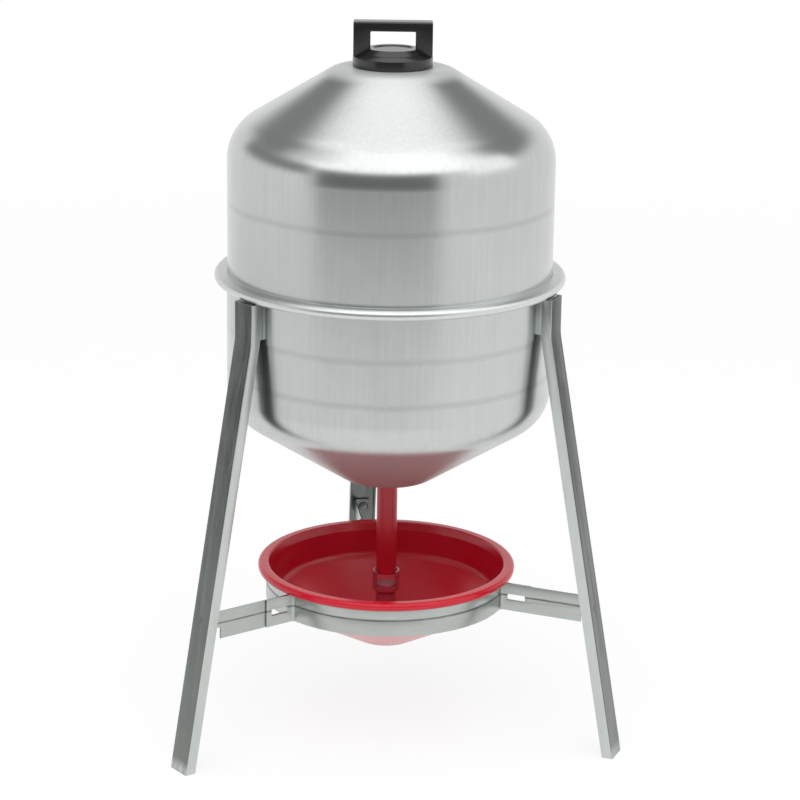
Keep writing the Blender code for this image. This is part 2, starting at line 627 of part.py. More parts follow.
def strap(side, first_leg, last_leg):
    """Bent strap: short ear at one leg, a third of the hoop, and an arm to the next leg."""
    name = f"bowl_strap_{side}"
    heights = ((0.0, 0), (RIB_Z - RIB_HALF, 0), (RIB_Z, 1), (RIB_Z + RIB_HALF, 0), (STRAP_H, 0))
    rows = []
    for height, ribbed in heights:
        z = STRAP_Z + height
        depth = RIB_DEPTH * ribbed
        rows.append([place((p[0] + n[0] * depth, p[1] + n[1] * depth, z), LEG_AZIMUTHS[first_leg])
                     for p, n in strap_path(z)])
    piece = add_part(name, sheet_mesh(name, rows), GALVANISED)
    thicken(piece, STRAP_T, 0.0)
    under = add_cutter(f"tongue_cut_{side}", box_mesh(
        f"tongue_cut_{side}", (ARM_R, -LEG_W, STRAP_Z - STRAP_H),
        (LEG_FOOT_R, LEG_W, STRAP_TOP_Z - TONGUE_H)))
    under.rotation_euler.z = LEG_AZIMUTHS[last_leg]
    cut(piece, under)
    cut(piece, slot_cutter(first_leg))
    cut(piece, slot_cutter(last_leg))
    cut(piece, rivet_hole(last_leg))


def main():
    """Build every sub-part."""
    upper_shell()
    lower_shell()
    joint_ring()
    filler_neck()
    screw_cap()
    outlet()
    bowl()
    pipe_seat()
    for side in LEG_AZIMUTHS:
        leg(side)
        bracket(side)
    for side, legs in STRAP_LEGS.items():
        strap(side, *legs)
    rivets()


clear_scene()
parts = new_collection("poultry_waterer_fount")
cutters = new_collection("cutters")
main()
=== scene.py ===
import math

import bmesh
import bpy
from mathutils import Matrix, Vector


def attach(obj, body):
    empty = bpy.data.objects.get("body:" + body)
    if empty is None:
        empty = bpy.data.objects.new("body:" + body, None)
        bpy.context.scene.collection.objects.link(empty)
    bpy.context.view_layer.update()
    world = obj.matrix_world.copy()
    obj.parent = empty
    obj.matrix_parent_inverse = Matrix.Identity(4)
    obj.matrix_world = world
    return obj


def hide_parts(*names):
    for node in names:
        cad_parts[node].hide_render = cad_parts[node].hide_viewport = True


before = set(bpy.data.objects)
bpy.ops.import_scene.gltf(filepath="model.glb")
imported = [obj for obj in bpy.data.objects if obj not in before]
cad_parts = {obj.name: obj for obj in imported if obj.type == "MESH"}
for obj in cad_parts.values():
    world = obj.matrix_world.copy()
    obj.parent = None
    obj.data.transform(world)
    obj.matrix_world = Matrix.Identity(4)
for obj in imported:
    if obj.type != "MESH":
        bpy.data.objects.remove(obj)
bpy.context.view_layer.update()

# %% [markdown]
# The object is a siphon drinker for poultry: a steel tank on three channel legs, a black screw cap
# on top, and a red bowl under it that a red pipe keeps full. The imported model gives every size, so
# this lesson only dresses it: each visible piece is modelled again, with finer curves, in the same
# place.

bpy.ops.object.select_all(action="DESELECT")

# %% [markdown]
# The camera comes first, because every later choice is judged through it. It stands in front of the
# drinker, a little above the cap, and looks down. A long lens keeps the legs nearly parallel. The
# picture is turned by less than a degree, as a camera held by hand is.

# %% Camera
IMAGE = 800
FOCAL_PIXELS = 2659.67
AXIS_LEFT = 11.62            # pixels between the tank's axis and the picture's middle
SENSOR = 36.0                # millimetres
CAMERA_PLACE = (0, -2.7134, 1.1491)
TILT = math.radians(16.245)
ROLL = math.radians(0.752)
PAN = math.atan(AXIS_LEFT / FOCAL_PIXELS)

right, ahead = Vector((1, 0, 0)), Vector((0, math.cos(TILT), -math.sin(TILT)))
above = Vector((0, math.sin(TILT), math.cos(TILT)))
side = right * math.cos(ROLL) + above * math.sin(ROLL)
top = above * math.cos(ROLL) - right * math.sin(ROLL)
look = ahead * math.cos(PAN) + side * math.sin(PAN)
side = side * math.cos(PAN) - ahead * math.sin(PAN)

bpy.ops.object.camera_add()
camera = bpy.context.active_object
camera.name = "camera"
facing = Matrix((side, top, -look)).transposed().to_4x4()
camera.matrix_world = Matrix.Translation(CAMERA_PLACE) @ facing
camera.data.sensor_width = SENSOR
camera.data.lens = SENSOR * FOCAL_PIXELS / IMAGE
bpy.context.scene.camera = camera
print("lens", round(camera.data.lens, 2), "mm")

# %% [markdown]
# Most of this object is turned: it is a profile swept round one upright axis. By hand, one vertex
# is extruded along the profile and the chain is spun round. The profile is written as corners with
# a rounding each, since a drawn sheet or a moulding never has a sharp corner.

# %% Turning helpers
ROUND_STEPS = 176            # facets round the large pieces
ARC_STEPS = 7                # facets in a corner's rounding
HOLD = 0.0015                # how far from a corner a straight is held flat
MERGE_TURNED = 0.000004      # points of a spun chain that are closer than this are one
CRISP, BLUNT = 35, 50        # degrees between faces from which an edge stays sharp


def rounded(corners, steps):
    """Chain of points from corners (radius, height, rounding), with an arc at each rounded one."""
    chain = []
    for index, (r, z, rounding) in enumerate(corners):
        here = Vector((r, z))
        if not rounding or index in (0, len(corners) - 1):
            chain.append(here)
            continue
        back = (Vector(corners[index - 1][:2]) - here).normalized()
        on = (Vector(corners[index + 1][:2]) - here).normalized()
        half = back.angle(on) / 2
        middle = here + (back + on).normalized() * rounding / math.sin(half)
        start = here + back * rounding / math.tan(half) - middle
        turn = start.angle_signed(here + on * rounding / math.tan(half) - middle)
        for step in range(steps + 1):
            angle = -turn * step / steps
            c, s = math.cos(angle), math.sin(angle)
            chain.append(middle + Vector((start.x * c - start.y * s, start.x * s + start.y * c)))
    return chain


def supported(chain):
    """Add a point beside each end of a long straight, so that smooth shading keeps it flat."""
    held = [chain[0]]
    for last, point in zip(chain, chain[1:]):
        run = point - last
        if run.length > 6 * HOLD:
            held += [last + run.normalized() * HOLD, point - run.normalized() * HOLD]
        held.append(point)
    return held


def begin(name):
    """Deselect all, add a plane and shrink it to one vertex to extrude from."""
    bpy.ops.object.select_all(action="DESELECT")
    bpy.ops.mesh.primitive_plane_add(size=0.01)
    piece = bpy.context.active_object
    piece.name = piece.data.name = name
    bpy.ops.object.mode_set(mode="EDIT")
    bpy.ops.mesh.select_all(action="SELECT")
    bpy.ops.mesh.merge(type="CENTER")
    return piece


def turned(name, corners, steps=ROUND_STEPS, arc_steps=ARC_STEPS):
    """Spin a rounded profile about the upright axis."""
    chain = supported(rounded(corners, arc_steps))
    piece = begin(name)
    bpy.ops.transform.translate(value=(chain[0].x, 0, chain[0].y))
    for last, point in zip(chain, chain[1:]):
        bpy.ops.mesh.extrude_vertices_move(
            TRANSFORM_OT_translate={"value": (point.x - last.x, 0, point.y - last.y)})
    bpy.ops.mesh.select_all(action="SELECT")
    bpy.ops.mesh.spin(steps=steps, angle=math.tau, center=(0, 0, 0), axis=(0, 0, 1))
    bpy.ops.mesh.select_all(action="SELECT")
    bpy.ops.mesh.remove_doubles(threshold=MERGE_TURNED)
    bpy.ops.mesh.normals_make_consistent(inside=False)
    bpy.ops.object.mode_set(mode="OBJECT")
    return piece


def apply_all(piece):
    """Apply every modifier of a piece."""
    bpy.context.view_layer.objects.active = piece
    for modifier in list(piece.modifiers):
        bpy.ops.object.modifier_apply(modifier=modifier.name)


def smooth(piece, degrees=CRISP):
    """Shade smooth, with edges sharper than an angle kept crisp."""
    bpy.ops.object.select_all(action="DESELECT")
    piece.select_set(True)
    bpy.context.view_layer.objects.active = piece
    bpy.ops.object.shade_smooth_by_angle(angle=math.radians(degrees))


def sheet(piece, wall):
    """Thicken an open turned surface inwards."""
    modifier = piece.modifiers.new("wall", "SOLIDIFY")
    modifier.thickness = wall
    modifier.offset = -1
    modifier.use_even_offset = True
    apply_all(piece)


def soften(piece, width, segments=2, degrees=CRISP):
    """Round the sharp edges a little, so that they catch the light."""
    modifier = piece.modifiers.new("edges", "BEVEL")
    modifier.width = width
    modifier.segments = segments
    modifier.limit_method = "ANGLE"
    modifier.angle_limit = math.radians(degrees)
    apply_all(piece)


def settle(piece, body, slot, *nodes):
    """Ride on a body and stand for solids. Its slot is not used."""
    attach(piece, body)
    if nodes:
        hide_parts(*nodes)
    print(piece.name, len(piece.data.polygons), "faces on", body)
    return piece


# %% [markdown]
# The tank is two deep-drawn shells. The press leaves faint rings round the wall where the sheet was
# drawn over the die. They are real hollows of a few hundredths of a millimetre, so they go into the
# profile instead of only into the finish.

# %% Tank shells
TANK_R, TANK_WALL = 0.170, 0.0008
MOUTH_R, LAND_R, LAND_Z = 0.0363, 0.05887, 0.7150      # the flat land under the cap
SHOULDER_Z, HEEL_Z = 0.6477, 0.3544                    # where the cones would meet the wall
OUTLET_R, BASE_R, BASE_Z = 0.0114, 0.04585, 0.275
SEAM_Z, FLANGE_R, FLANGE_UP, FLANGE_ROUND = 0.500, 0.1785, 0.0011, 0.0012
UPPER_MARK, HIGH_MARK, LOW_MARK = 0.576, 0.446, 0.3996
MARK_DEEP, MARK_HALF = 0.00004, 0.003
SHELL_ARC_STEPS = 14


def draw_mark(z):
    """Corners of a shallow ring left in the wall by the drawing die, from the top down."""
    return [(TANK_R, z + MARK_HALF, 0), (TANK_R - MARK_DEEP, z, 0), (TANK_R, z - MARK_HALF, 0)]


upper = turned("tank_upper", [
    (MOUTH_R, LAND_Z, 0), (LAND_R, LAND_Z, 0.030), (TANK_R, SHOULDER_Z, 0.050),
    *draw_mark(UPPER_MARK), (TANK_R, SEAM_Z + FLANGE_UP, FLANGE_ROUND),
    (FLANGE_R, SEAM_Z + FLANGE_UP, 0)], arc_steps=SHELL_ARC_STEPS)
sheet(upper, TANK_WALL)
lower = turned("tank_lower", [
    (FLANGE_R, SEAM_Z - FLANGE_UP, 0), (TANK_R, SEAM_Z - FLANGE_UP, FLANGE_ROUND),
    *draw_mark(HIGH_MARK), *draw_mark(LOW_MARK), (TANK_R, HEEL_Z, 0.0405),
    (BASE_R, BASE_Z, 0.020), (OUTLET_R, BASE_Z, 0)], arc_steps=SHELL_ARC_STEPS)
sheet(lower, TANK_WALL)
for shell, node in ((upper, "upper_tank_shell"), (lower, "lower_tank_shell")):
    smooth(shell)
    settle(shell, "stand_and_tank", "galvanised_steel", node)

# %% [markdown]
# A rolled ring clamps the two flanges. Its outer edge is a half round, and its lips reach the wall.

# %% Seam ring
LIP_IN, RING_R, RING_ROUND, RING_WALL = 0.1703, 0.1837, 0.0052, 0.0007
RING_TOP, RING_FOOT = SEAM_Z + 0.0018, SEAM_Z - 0.0088
ring = turned("seam_bead", [
    (LIP_IN, RING_TOP, 0), (RING_R, RING_TOP, RING_ROUND),
    (RING_R, RING_FOOT, RING_ROUND), (LIP_IN, RING_FOOT, 0)])
sheet(ring, RING_WALL)
smooth(ring, BLUNT)
settle(ring, "stand_and_tank", "galvanised_steel", "seam_ring")

# %% [markdown]
# The filler neck is hidden until the cap is unscrewed. It carries a thread, which is a ridge that
# climbs as it goes round. A Screw modifier sweeps a short profile round and up at once.

# %% Filler neck
NECK_R, NECK_BORE, NECK_FLANGE_R = 0.0360, 0.0335, 0.043
NECK_TOP, NECK_FLANGE_TOP, NECK_FOOT = 0.7210, 0.7139, 0.7124
NECK_STEPS, FINE_EDGE = 96, 0.0004
neck = turned("neck_collar", [
    (NECK_R, NECK_TOP, 0), (NECK_R, NECK_FLANGE_TOP, 0), (NECK_FLANGE_R, NECK_FLANGE_TOP, 0),
    (NECK_FLANGE_R, NECK_FOOT, 0), (NECK_BORE, NECK_FOOT, 0), (NECK_BORE, NECK_TOP, 0),
    (NECK_R, NECK_TOP, 0)], NECK_STEPS)
soften(neck, FINE_EDGE)
smooth(neck)
settle(neck, "stand_and_tank", "galvanised_steel", "filler_neck")

THREAD_FOOT, THREAD_PITCH, THREAD_TURNS, THREAD_STEPS = 0.7142, 0.006, 0.9, 80
THREAD_SUNK, THREAD_DEPTH, THREAD_FLANK, THREAD_CREST = 0.0002, 0.0009, 0.0004, 0.0005
thread = begin("neck_thread")
bpy.ops.transform.translate(value=(NECK_R - THREAD_SUNK, 0, THREAD_FOOT))
for step in (
        (THREAD_DEPTH, 0, THREAD_FLANK), (0, 0, THREAD_CREST), (-THREAD_DEPTH, 0, THREAD_FLANK)):
    bpy.ops.mesh.extrude_vertices_move(TRANSFORM_OT_translate={"value": step})
bpy.ops.object.mode_set(mode="OBJECT")
climb = thread.modifiers.new("climb", "SCREW")
climb.angle, climb.screw_offset = THREAD_TURNS * math.tau, THREAD_TURNS * THREAD_PITCH
climb.steps = climb.render_steps = THREAD_STEPS
apply_all(thread)
bpy.ops.object.mode_set(mode="EDIT")
bpy.ops.mesh.select_all(action="SELECT")
bpy.ops.mesh.normals_make_consistent(inside=False)
bpy.ops.object.mode_set(mode="OBJECT")
smooth(thread)
settle(thread, "stand_and_tank", "galvanised_steel")

# %% [markdown]
# The cap is one black moulding: a skirt, a raised disc with a dish in it, and a square loop to
# grip. The turned part is spun. The loop is one bar that is extruded up, across and down again, as
# a modeller would draw it, and then its edges are rounded.

# %% Cap
CAP_R, SKIRT_IN = 0.0412, 0.0372
CAP_BASE, ROOF_Z, CAP_EDGE = 0.7155, 0.7241, 0.7256
STEP_Z, DISH_Z, DISC_TOP = 0.7291, 0.7329, 0.7339
CAP_STEPS, SMALL_ARC_STEPS = 128, 4
cap = turned("cap_body", [
    (0, DISH_Z, 0), (0.0195, DISH_Z, 0.0005), (0.0210, DISC_TOP, 0.0004),
    (0.0268, DISC_TOP, 0.0010), (0.0328, STEP_Z, 0.0004), (0.0345, STEP_Z, 0.0006),
    (CAP_R, CAP_EDGE, 0.0016), (CAP_R, CAP_BASE, 0.0006), (SKIRT_IN, CAP_BASE, 0.0004),
    (SKIRT_IN, ROOF_Z, 0.0006), (0, ROOF_Z, 0)], CAP_STEPS, SMALL_ARC_STEPS)
smooth(cap)

HANDLE_X, HANDLE_IN, HANDLE_Y = 0.0406, 0.0231, 0.0112
HANDLE_FOOT, HANDLE_BAR, HANDLE_TOP, HANDLE_EDGE = 0.7262, 0.7518, 0.7612, 0.0011
bpy.ops.object.select_all(action="DESELECT")
bpy.ops.mesh.primitive_cube_add(size=1)
loop = bpy.context.active_object
loop.name = loop.data.name = "cap_loop"
bpy.ops.object.mode_set(mode="EDIT")
bpy.ops.transform.resize(value=(HANDLE_X - HANDLE_IN, 2 * HANDLE_Y, HANDLE_BAR - HANDLE_FOOT))
bpy.ops.transform.translate(
    value=(-(HANDLE_X + HANDLE_IN) / 2, 0, (HANDLE_BAR + HANDLE_FOOT) / 2))


def pick_face(piece, normal, place):
    """Select the one face that looks along a normal and lies nearest a place."""
    mesh = bmesh.from_edit_mesh(piece.data)
    for element in (*mesh.verts, *mesh.edges, *mesh.faces):
        element.select = False
    alike = [face for face in mesh.faces if face.normal.dot(Vector(normal)) > 0.9]
    chosen = min(alike, key=lambda face: (face.calc_center_median() - Vector(place)).length)
    chosen.select_set(True)
    bmesh.update_edit_mesh(piece.data)


middle_z = (HANDLE_BAR + HANDLE_TOP) / 2
for normal, place, move in (
        ((0, 0, 1), (-HANDLE_X, 0, HANDLE_BAR), (0, 0, HANDLE_TOP - HANDLE_BAR)),
        ((1, 0, 0), (-HANDLE_IN, 0, middle_z), (2 * HANDLE_IN, 0, 0)),
        ((1, 0, 0), (HANDLE_IN, 0, middle_z), (HANDLE_X - HANDLE_IN, 0, 0)),
        ((0, 0, -1), (HANDLE_X, 0, HANDLE_BAR), (0, 0, HANDLE_FOOT - HANDLE_BAR))):
    pick_face(loop, normal, place)
    bpy.ops.mesh.extrude_region_move(TRANSFORM_OT_translate={"value": move})
bpy.ops.object.mode_set(mode="OBJECT")
soften(loop, HANDLE_EDGE, 3)
smooth(loop)
settle(cap, "cap", "black_plastic", "screw_cap")
settle(loop, "cap", "black_plastic")

# %% [markdown]
# The pipe hangs from the tank's base. Its collar bears on the base from below, and a nut inside the
# tank pulls it tight. Its foot sets the water's level in the bowl.

# %% Down pipe
PIPE_R, PIPE_BORE, COLLAR_R, PIPE_STEPS = 0.0110, 0.0088, 0.0138, 64
PIPE_TOP, COLLAR_TOP, COLLAR_FOOT, PIPE_FOOT = 0.2899, 0.2747, 0.2717, 0.1645
pipe = turned("pipe", [
    (PIPE_R, PIPE_TOP, 0), (PIPE_R, COLLAR_TOP, 0), (COLLAR_R, COLLAR_TOP, 0.0006),
    (COLLAR_R, COLLAR_FOOT, 0.0008), (PIPE_R, COLLAR_FOOT, 0.0005), (PIPE_R, PIPE_FOOT, 0.0006),
    (PIPE_BORE, PIPE_FOOT, 0.0006), (PIPE_BORE, PIPE_TOP, 0), (PIPE_R, PIPE_TOP, 0)],
    PIPE_STEPS, SMALL_ARC_STEPS)
smooth(pipe)
settle(pipe, "stand_and_tank", "red_plastic", "down_pipe")

# %% [markdown]
# The bowl is a moulding with a rolled rim that hangs on the hoop, a drafted wall that flares a
# little below the rim, and a conical floor. A boss in its middle has a socket for the cup's stem.
# The profile runs from the socket up the inside, over the rim and back down the outside.

# %% Bowl
SOCKET_R, SOCKET_Z, BOSS_R, BOSS_TOP = 0.0111, 0.0942, 0.0165, 0.1030
RIM_R, RIM_TOP, RIM_FOOT, FLOOR_Z, UNDER_Z = 0.1384, 0.1787, 0.1703, 0.0930, 0.0905
bowl = turned("bowl_shell", [
    (0, SOCKET_Z, 0), (SOCKET_R, SOCKET_Z, 0), (SOCKET_R, BOSS_TOP, 0.0006),
    (BOSS_R, BOSS_TOP, 0.0008), (BOSS_R, FLOOR_Z, 0.0015), (0.0294, FLOOR_Z, 0.010),
    (0.1203, 0.1415, 0.010), (0.1243, RIM_FOOT, 0.004), (0.1270, RIM_TOP, 0.0022),
    (RIM_R, RIM_TOP, 0.0036), (RIM_R, RIM_FOOT, 0.0034), (0.1268, RIM_FOOT, 0.0008),
    (0.1228, 0.1400, 0.004), (0.0300, UNDER_Z, 0.012), (0, UNDER_Z, 0)])
smooth(bowl, BLUNT)
settle(bowl, "drinking_bowl", "red_plastic", "bowl")

# %% [markdown]
# A cup with two prongs stands on the bowl's centre and guides the pipe's foot. It is spun first,
# and the gap between the prongs is then cut with a box.

# %% Pipe seat
CUP_R, CUP_IN, STEM_R, CUP_STEPS = 0.0146, 0.0120, 0.0108, 96
PRONG_TOP, CUP_FLOOR, STEM_FOOT = 0.1680, 0.1485, 0.0945
GAP_Z, GAP_SIZE = 0.1605, (0.019, 0.060, 0.020)
seat = turned("seat_cup", [
    (0, CUP_FLOOR, 0), (CUP_IN, CUP_FLOOR, 0.0006), (CUP_IN, PRONG_TOP, 0.0006),
    (CUP_R, PRONG_TOP, 0.0008), (CUP_R, 0.1460, 0.0010), (STEM_R, 0.1430, 0.0010),
    (STEM_R, STEM_FOOT, 0), (0, STEM_FOOT, 0)], CUP_STEPS, SMALL_ARC_STEPS)
bpy.ops.object.select_all(action="DESELECT")
bpy.ops.mesh.primitive_cube_add(size=1, location=(0, 0, GAP_Z))
gap = bpy.context.active_object
bpy.ops.object.mode_set(mode="EDIT")
bpy.ops.transform.resize(value=GAP_SIZE)
bpy.ops.object.mode_set(mode="OBJECT")
cut = seat.modifiers.new("gap", "BOOLEAN")
cut.operation, cut.solver, cut.object = "DIFFERENCE", "EXACT", gap
apply_all(seat)
bpy.data.objects.remove(gap)
soften(seat, FINE_EDGE, 2, BLUNT)
smooth(seat)
settle(seat, "bowl_centre", "red_plastic", "pipe_seat")

# %% [markdown]
# Legs, brackets and straps are folded from strip, and rivets join them. Their solids already have
# every fold and slot, so a copy of each is merged into one skin, its flat triangles are joined, and
# its edges are eased very slightly, as sheared strip is. Legs and brackets are cut off level just
# under the ring, and a lug folded in from the web closes each leg's top. The legs end straight: what
# lies below a cut is removed, and the open end is drawn on down to the floor. The rivets' tails are
# ground flush with the webs.

# %% Folded strip
LEG_AZIMUTHS = {"left": 217.16, "right": 337.16, "back": 97.16}
LEG_RUN_OUT = 0.1827         # how far a leg runs out per unit of height
LEG_FOOT_R = 0.2687          # web's outside at the floor
LEG_TOP, FOOT_CUT = 0.4905, 0.016
LUG_IN, LUG_OUT, LUG_WIDTH, LUG_THICK = 0.1705, 0.1855, 0.0256, 0.0008
RIVET_PROUD = 0.0001
STRIP_EDGE = 0.0003          # at most: a piece's shortest edges hold its easing back
MERGE_SOLID = 0.00001        # points of a solid's triangles that are closer than this are one
FLAT, STRIP_CRISP = 0.6, 40  # degrees: faces joined below the first, edges sharp above the second
SORT_FROM = (1.3, 0.4, -0.7)         # no two points of a leg are equally far from here


def outward(end):
    """Level direction in which a leg's web faces."""
    turn = math.radians(LEG_AZIMUTHS[end])
    return Vector((math.cos(turn), math.sin(turn), 0))


def straight_foot(out):
    """Draw an open channel end straight down to the floor."""
    bpy.ops.mesh.select_all(action="SELECT")
    bpy.ops.mesh.bisect(plane_co=(0, 0, FOOT_CUT), plane_no=(0, 0, 1), clear_inner=True)
    bpy.ops.mesh.extrude_region_move(
        TRANSFORM_OT_translate={"value": FOOT_CUT * (LEG_RUN_OUT * out - Vector((0, 0, 1)))})
    bpy.ops.mesh.edge_face_add()


def top_lug(end):
    """Fold a lug over a channel's top, level with its cut."""
    out = outward(end) * (LUG_IN + LUG_OUT) / 2
    bpy.ops.mesh.primitive_cube_add(
        size=1, scale=(LUG_OUT - LUG_IN, LUG_WIDTH, LUG_THICK),
        rotation=(0, 0, math.radians(LEG_AZIMUTHS[end])),
        location=(out.x, out.y, LEG_TOP - LUG_THICK / 2))


def in_order():
    """Select all and sort it by place, so that every run joins the same faces."""
    bpy.ops.mesh.select_all(action="SELECT")
    bpy.context.scene.cursor.location = SORT_FROM
    bpy.ops.mesh.sort_elements(type="CURSOR_DISTANCE", elements={"VERT", "EDGE", "FACE"})
    bpy.context.scene.cursor.location = (0, 0, 0)


def refined(name, node, edge, cut=None, end=None):
    """A merged copy of a solid, with flat faces joined and edges rounded. It may be cut off at a
    plane (place, normal), and where an end names a leg, its foot is drawn straight and its top
    closed."""
    piece = bpy.data.objects.new(name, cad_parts[node].data.copy())
    piece.data.name = name
    piece.data.materials.clear()
    bpy.context.scene.collection.objects.link(piece)
    bpy.ops.object.select_all(action="DESELECT")
    piece.select_set(True)
    bpy.context.view_layer.objects.active = piece
    bpy.ops.object.mode_set(mode="EDIT")
    bpy.ops.mesh.select_all(action="SELECT")
    bpy.ops.mesh.remove_doubles(threshold=MERGE_SOLID)
    if cut:
        bpy.ops.mesh.bisect(plane_co=cut[0], plane_no=cut[1], clear_outer=True, use_fill=True)
    if end:
        straight_foot(outward(end))
        top_lug(end)
        in_order()
    bpy.ops.mesh.dissolve_limited(angle_limit=math.radians(FLAT))
    bpy.ops.object.mode_set(mode="OBJECT")
    if edge:
        soften(piece, edge, 2, BLUNT)
    smooth(piece, STRIP_CRISP)
    return piece


def web_plane(end):
    """Plane just outside a leg's web, as a place and a normal."""
    out = outward(end)
    return out * (LEG_FOOT_R + RIVET_PROUD), out + Vector((0, 0, LEG_RUN_OUT))


UNDER_RING = (Vector((0, 0, LEG_TOP)), Vector((0, 0, 1)))
legs, brackets, rivets = [], [], []
for end in LEG_AZIMUTHS:
    for made, name, node, ease, cut, leg in (
            (legs, f"leg_{end}_channel", f"leg_{end}", STRIP_EDGE, UNDER_RING, end),
            (brackets, f"bracket_{end}", f"leg_bracket_{end}", STRIP_EDGE, UNDER_RING, None),
            (rivets, f"rivet_{end}", f"strap_rivet_{end}", 0, web_plane(end), None)):
        piece = refined(name, node, ease, cut, leg)
        made.append(settle(piece, "stand_and_tank", "zinc_leg", node))
straps = []
for end in ("front", "right", "left"):
    piece = refined(f"strap_{end}", f"bowl_strap_{end}", STRIP_EDGE)
    straps.append(settle(piece, "stand_and_tank", "galvanised_steel", f"bowl_strap_{end}"))

# %% [markdown]
# Each finish starts from what the real material is. One function turns an sRGB hex colour into the
# linear numbers that shaders use, and one adds a node with its settings and links.

# %% Material helpers
def tint(code):
    """Linear colour of an sRGB hex value."""
    channels = [int(code[i:i + 2], 16) / 255 for i in (1, 3, 5)]
    return (*[c / 12.92 if c <= 0.04045 else ((c + 0.055) / 1.055) ** 2.4 for c in channels], 1.0)


def add(tree, kind, sockets=None, **settings):
    """Add a node. A socket takes a number, a colour or another node's output."""
    made = tree.nodes.new(kind)
    for key, value in settings.items():
        setattr(made, key, value)
    for key, value in (sockets or {}).items():
        if isinstance(value, bpy.types.NodeSocket):
            tree.links.new(value, made.inputs[key])
        else:
            made.inputs[key].default_value = value
    return made


def finish(name, **sockets):
    """A new Principled material and its shader, with uniform values on the shader's own sockets."""
    made = bpy.data.materials.new(name)
    made.use_nodes = True
    shader = made.node_tree.nodes["Principled BSDF"]
    for key, value in sockets.items():
        shader.inputs[key.replace("_", " ")].default_value = value
    return made, made.node_tree, shader


def wear(material, *pieces):
    """Give pieces one material."""
    for piece in pieces:
        piece.data.materials.clear()
        piece.data.materials.append(material)


# %% [markdown]
# The tank is hot-dip galvanised sheet that was drawn in a press. Zinc gives a cool grey with a
# satin sheen. The drawing leaves fine upright lines on the wall and cloudy patches a few
# centimetres wide. Darker bands wandering along the die rings are painted shade of the rings.
# The lines are drawn about 4 mm apart, because the real ones are too fine to show. A painted band
# is a height, half a width, a strength, a colour and how far it wanders. The sheet is duller where
# the press stretched it least, on the land under the cap and on the lower cone. There it keeps a
# thin grey film, so a finish can also blend between two heights to a second roughness and
# metallic share.

# %% Galvanised sheet
CLOUD_SCALE, SPECK_SCALE = 16.0, 520.0     # per metre: patches of 6 cm and specks of 2 mm
UNEVEN = 0.03                              # how much the roughness drifts either way


def galvanised(name, pale, dark, grain, rough, painted_bands=(), dull=None):
    """Drawn zinc-coated sheet: cloudy colour, fine grain, painted bands of shade and highlight,
    and a duller zone as two heights, a roughness and a metallic share."""
    made, tree, shader = finish(name, Metallic=1.0)
    place = add(tree, "ShaderNodeTexCoord").outputs["Object"]
    clouds = add(tree, "ShaderNodeTexNoise", {
        "Vector": place, "Scale": CLOUD_SCALE, "Detail": 4.0, "Roughness": 0.6})
    lines = add(tree, "ShaderNodeMapping", {"Vector": place, "Scale": grain})
    streaks = add(tree, "ShaderNodeTexNoise", {
        "Vector": lines.outputs["Vector"], "Scale": 1.0, "Detail": 3.0, "Roughness": 0.65})
    speck = add(tree, "ShaderNodeTexNoise", {"Vector": place, "Scale": SPECK_SCALE, "Detail": 2.0})
    speck = add(tree, "ShaderNodeMapRange", {
        "Value": speck.outputs["Fac"], "To Min": 0.35, "To Max": 0.65})
    blend = add(tree, "ShaderNodeMath", {
        0: clouds.outputs["Fac"], 1: streaks.outputs["Fac"]}, operation="ADD")
    blend = add(tree, "ShaderNodeMath", {0: blend.outputs[0], 1: speck.outputs[0]}, operation="ADD")
    amount = add(tree, "ShaderNodeMapRange", {
        "Value": blend.outputs[0], "From Min": 1.1, "From Max": 1.9})
    colour = add(tree, "ShaderNodeMix", {
        "Factor": amount.outputs[0], "A": tint(dark), "B": tint(pale)}, data_type="RGBA")
    colour = colour.outputs["Result"]
    height = add(tree, "ShaderNodeSeparateXYZ", {0: place}).outputs["Z"]
    for z, half, strength, code, wander in painted_bands:
        line = add(tree, "ShaderNodeMapRange", {
            "Value": clouds.outputs["Fac"], "To Min": z - wander, "To Max": z + wander})
        off = add(tree, "ShaderNodeMath", {0: height, 1: line.outputs[0]}, operation="SUBTRACT")
        off = add(tree, "ShaderNodeMath", {0: off.outputs[0]}, operation="ABSOLUTE")
        near = add(tree, "ShaderNodeMapRange", {
            "Value": off.outputs[0], "From Min": 0.0, "From Max": half,
            "To Min": strength, "To Max": 0.0}, interpolation_type="SMOOTHSTEP")
        patch = add(tree, "ShaderNodeMath", {
            0: near.outputs[0], 1: streaks.outputs["Fac"]}, operation="MULTIPLY", use_clamp=True)
        colour = add(tree, "ShaderNodeMix", {
            "Factor": patch.outputs[0], "A": colour, "B": tint(code)}, data_type="RGBA")
        colour = colour.outputs["Result"]
    tree.links.new(colour, shader.inputs["Base Color"])
    gloss = add(tree, "ShaderNodeMapRange", {
        "Value": blend.outputs[0], "From Min": 1.0, "From Max": 2.0,
        "To Min": rough + UNEVEN, "To Max": rough - UNEVEN}).outputs[0]
    if dull:
        start, end, dull_rough, metal = dull
        zone = add(tree, "ShaderNodeMapRange", {
            "Value": height, "From Min": start, "From Max": end}, interpolation_type="SMOOTHSTEP")
        gloss = add(tree, "ShaderNodeMix", {
            "Factor": zone.outputs[0], "A": gloss, "B": dull_rough}).outputs["Result"]
        film = add(tree, "ShaderNodeMapRange", {
            "Value": zone.outputs[0], "To Min": 1.0, "To Max": metal})
        tree.links.new(film.outputs[0], shader.inputs["Metallic"])
    tree.links.new(gloss, shader.inputs["Roughness"])
    bump = add(tree, "ShaderNodeBump", {
        "Height": streaks.outputs["Fac"], "Strength": 0.03, "Distance": 0.0004})
    tree.links.new(bump.outputs["Normal"], shader.inputs["Normal"])
    print(name, len(tree.nodes), "nodes")
    return made


